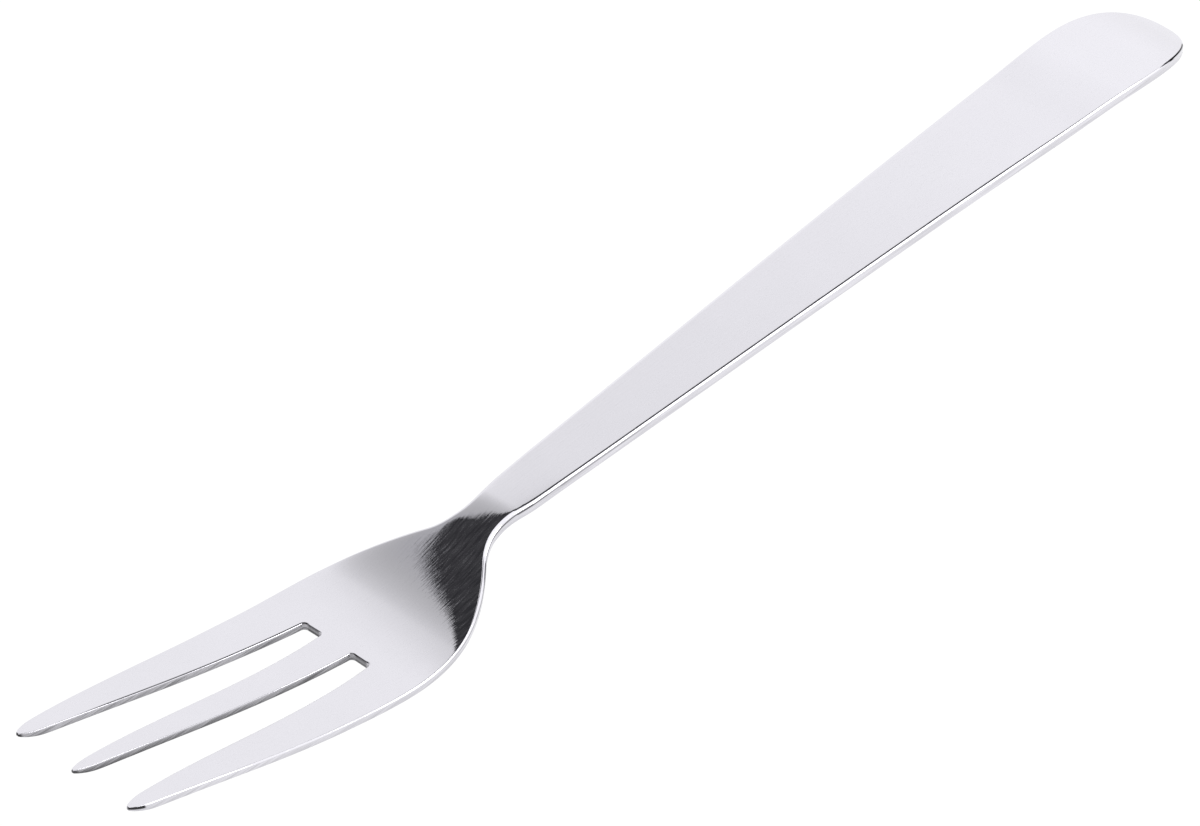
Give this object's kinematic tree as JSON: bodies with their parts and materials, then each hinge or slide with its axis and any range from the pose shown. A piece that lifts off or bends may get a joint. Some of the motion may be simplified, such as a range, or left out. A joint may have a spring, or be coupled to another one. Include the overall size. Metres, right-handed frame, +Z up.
{
  "type": "salad fork",
  "caption": "Slim stainless salad fork with bluntly pointed tines, a raised neck and a flat handle that widens to a rounded end.",
  "frame": {"origin": "under the middle of the fork's length, on the table it lies on", "axes": "+X along the handle from the tines to the handle's end, +Z up from the table, +Y across"},
  "size_m": [0.1799, 0.0214, 0.0122],
  "materials": {
    "steel": "polished stainless steel"
  },
  "bodies": {
    "root": {"fork": "steel"}
  },
  "joints": []
}
